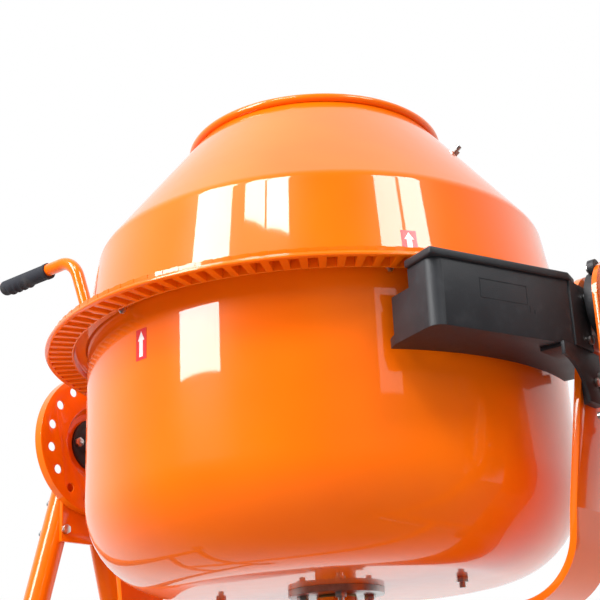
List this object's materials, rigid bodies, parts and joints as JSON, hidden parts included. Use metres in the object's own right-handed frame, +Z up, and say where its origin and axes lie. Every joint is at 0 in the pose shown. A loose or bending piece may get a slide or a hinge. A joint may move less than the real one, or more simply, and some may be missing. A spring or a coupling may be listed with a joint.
{
  "type": "concrete mixer",
  "caption": "Tilting-drum concrete mixer: bolted two-part drum with ring gear and guarded pinion, yoke, holed locking disc and lever, motor box, wheeled stand.",
  "frame": {"origin": "middle of the bounding box at floor level", "axes": "+X along the tilt axis towards the motor, -Y the front, +Z up with the drum upright"},
  "size_m": [1.291, 0.7274, 1.2358],
  "materials": {
    "orange_paint": "gloss enamel",
    "black_plastic": "satin, fine grain",
    "grip_rubber": "matt",
    "tyre_rubber": "matt",
    "rim_plastic": "satin",
    "zinc": "zinc plated",
    "bare_steel": "turned",
    "bronze": "sintered",
    "cast_gear": "as cast",
    "motor_alloy": "die cast",
    "pulley_plastic": "satin",
    "belt_rubber": "matt",
    "label": "printed film",
    "green_plastic": "gloss",
    "red_plastic": "gloss"
  },
  "bodies": {
    "frame": {"motor_base": "zinc", "motor_cover": "black_plastic", "cover_screws": "zinc", "switch_body": "black_plastic", "power_inlet": "black_plastic", "motor_body": "motor_alloy", "drive_belt": "belt_rubber", "locking_disc": "orange_paint", "left_bush": "black_plastic", "bush_bolts": "zinc", "right_bush": "black_plastic", "stand_heads": "orange_paint", "stand_bolts": "zinc", "stand_legs": "orange_paint", "stand_tubes": "orange_paint", "foot_bar": "orange_paint", "rubber_feet": "grip_rubber", "axle": "bare_steel", "axle_fittings": "black_plastic"},
    "yoke": {"yoke_bow": "orange_paint", "drum_bearing_housing": "orange_paint", "drum_bush": "bronze", "bearing_bolts": "zinc", "right_trunnion": "bare_steel", "shaft_bushes": "bronze", "left_trunnion": "bare_steel", "trunnion_circlip": "zinc", "pinion_guard": "black_plastic", "guard_lid": "black_plastic", "guard_bracket": "black_plastic", "guard_screws": "zinc", "lever_bracket": "orange_paint", "lever_pivot_pin": "zinc"},
    "drum": {"drum_lower": "orange_paint", "drum_upper": "orange_paint", "mouth_rim": "orange_paint", "ring_gear": "orange_paint", "flange_bolts": "zinc", "mixing_paddles": "orange_paint", "paddle_bolts": "zinc", "drum_spindle": "bare_steel", "spindle_fasteners": "zinc", "alignment_labels": "label"},
    "pinion_set": {"pinion": "cast_gear", "pinion_shaft": "bare_steel", "shaft_retainers": "zinc", "drive_pulley": "pulley_plastic"},
    "rotor": {"motor_pulley": "motor_alloy", "motor_rotor": "bare_steel", "cooling_fan": "pulley_plastic"},
    "lever": {"lever_tube": "orange_paint", "lever_grip": "grip_rubber", "locking_pin": "zinc"},
    "start_button": {"start_button": "green_plastic"},
    "stop_button": {"stop_button": "red_plastic"},
    "front_wheel": {"tyre_front": "tyre_rubber", "wheel_rim_front": "rim_plastic"},
    "rear_wheel": {"tyre_rear": "tyre_rubber", "wheel_rim_rear": "rim_plastic"}
  },
  "joints": [
    {"name": "drum_tilt", "type": "hinge", "parent": "frame", "child": "yoke", "pos_m": [-0.0155, 0, 0.9], "axis": [1, 0, 0], "range_deg": [-135, 135]},
    {"name": "drum_spin", "type": "hinge", "parent": "yoke", "child": "drum", "pos_m": [-0.0155, 0, 0.9338], "axis": [0, 0, 1], "continuous": true},
    {"name": "pinion_spin", "type": "hinge", "parent": "yoke", "child": "pinion_set", "pos_m": [0.32827, 0, 0.9], "axis": [1, 0, 0], "continuous": true},
    {"name": "motor_spin", "type": "hinge", "parent": "frame", "child": "rotor", "pos_m": [0.4945, 0, 0.755], "axis": [1, 0, 0], "continuous": true},
    {"name": "lock_lever", "type": "hinge", "parent": "yoke", "child": "lever", "pos_m": [-0.4315, 0.01276, 0.83117], "axis": [0, -0.9833, -0.1822], "range_deg": [0, 3.6]},
    {"name": "start_press", "type": "slide", "parent": "frame", "child": "start_button", "axis": [0, 1, 0], "range_m": [0, 0.003], "stiffness_N_per_m": 500},
    {"name": "stop_press", "type": "slide", "parent": "frame", "child": "stop_button", "axis": [0, 1, 0], "range_m": [0, 0.003], "stiffness_N_per_m": 500},
    {"name": "front_wheel_spin", "type": "hinge", "parent": "frame", "child": "front_wheel", "pos_m": [0.4215, -0.312, 0.1], "axis": [0, 1, 0], "continuous": true},
    {"name": "rear_wheel_spin", "type": "hinge", "parent": "frame", "child": "rear_wheel", "pos_m": [0.4215, 0.312, 0.1], "axis": [0, 1, 0], "continuous": true}
  ],
  "couplings": [
    {"joint": "pinion_spin", "follows": "drum_spin", "ratio": -9},
    {"joint": "motor_spin", "follows": "drum_spin", "ratio": -54}
  ]
}
